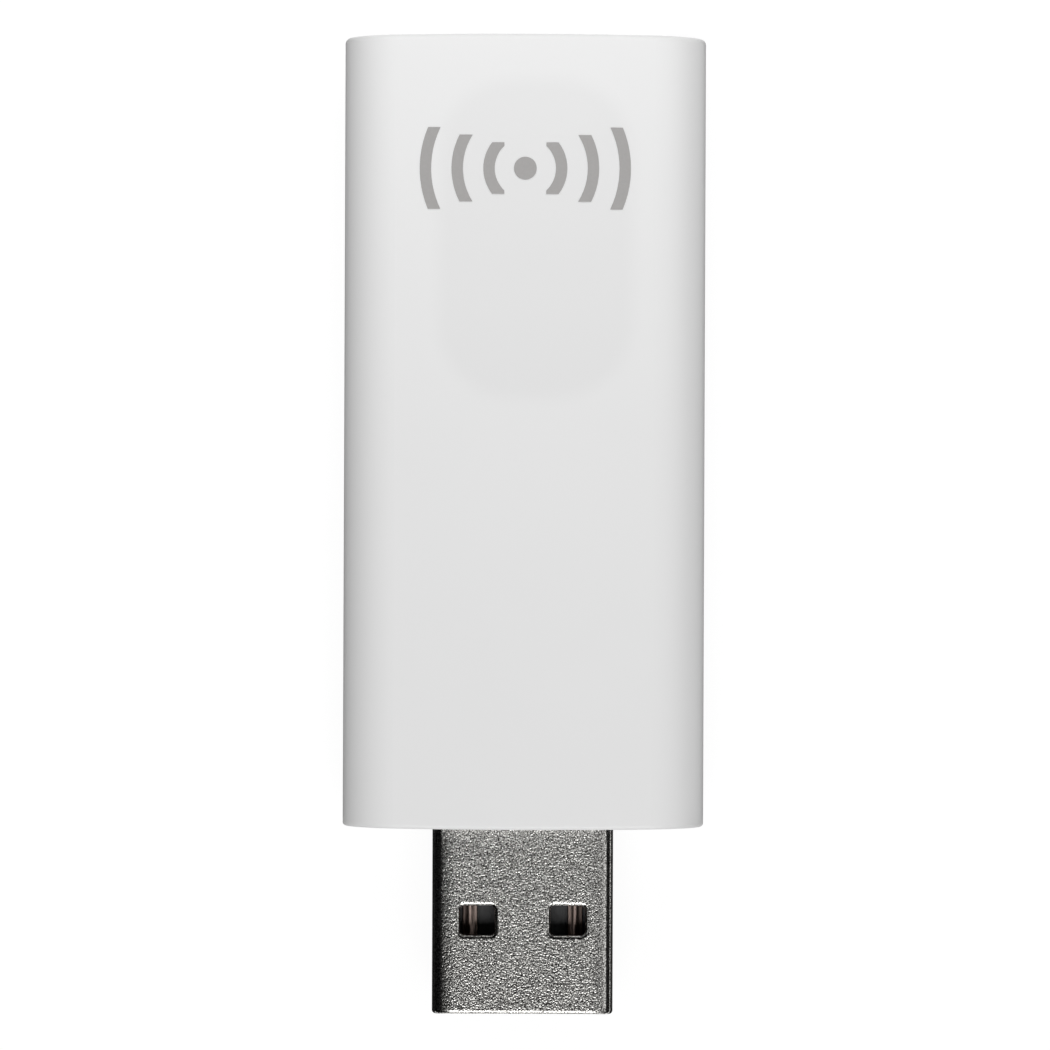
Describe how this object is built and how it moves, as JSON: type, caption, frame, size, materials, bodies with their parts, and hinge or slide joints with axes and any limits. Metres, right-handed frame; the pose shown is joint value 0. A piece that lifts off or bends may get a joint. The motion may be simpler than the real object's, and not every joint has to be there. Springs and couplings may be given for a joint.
{
  "type": "usb radio stick",
  "caption": "Flat white smart home radio stick with rounded sides and a USB type A plug at one end, holding a circuit board with a screened radio and a coil antenna.",
  "frame": {"origin": "on the flat back's plane, below the middle of the overall length and width", "axes": "+X across the stick, +Y along it away from the plug, +Z from the flat back to the crowned front"},
  "size_m": [0.024, 0.065, 0.009],
  "materials": {
    "white_plastic": "fine satin moulded ABS",
    "grey_ink": "pad printed ink",
    "nickel_plated_steel": "tumbled nickel plate with a fine speckle",
    "black_plastic": "glass-filled moulding",
    "gold_plated_bronze": "thin gold plate",
    "green_laminate": "glass fibre laminate under green solder mask",
    "solder": "bright solder",
    "chip_resin": "moulded resin",
    "tan_ceramic": "fired ceramic with tinned ends",
    "dark_ceramic": "ceramic with tinned ends",
    "white_ceramic": "fired ceramic",
    "tinned_steel": "tin plate",
    "tinned_copper": "tinned wire"
  },
  "bodies": {
    "root": {"front_shell": "white_plastic", "back_shell": "white_plastic", "printed_sign": "grey_ink", "plug_sleeve": "nickel_plated_steel", "plug_insert": "black_plastic", "contact_power": "gold_plated_bronze", "contact_data_minus": "gold_plated_bronze", "contact_data_plus": "gold_plated_bronze", "contact_ground": "gold_plated_bronze", "circuit_board": "green_laminate", "solder_joints": "solder", "surge_protection_chip": "chip_resin", "storage_capacitor": "tan_ceramic", "ferrite_bead": "dark_ceramic", "usb_bridge_chip": "chip_resin", "memory_chip": "chip_resin", "voltage_regulator": "chip_resin", "radio_chip": "chip_resin", "radio_crystal": "tinned_steel", "antenna_filter": "white_ceramic", "ceramic_capacitors": "tan_ceramic", "chip_resistors": "dark_ceramic", "matching_coils": "white_ceramic", "screening_frame": "tinned_steel", "screening_lid": "tinned_steel", "antenna_coil": "tinned_copper"}
  },
  "joints": []
}
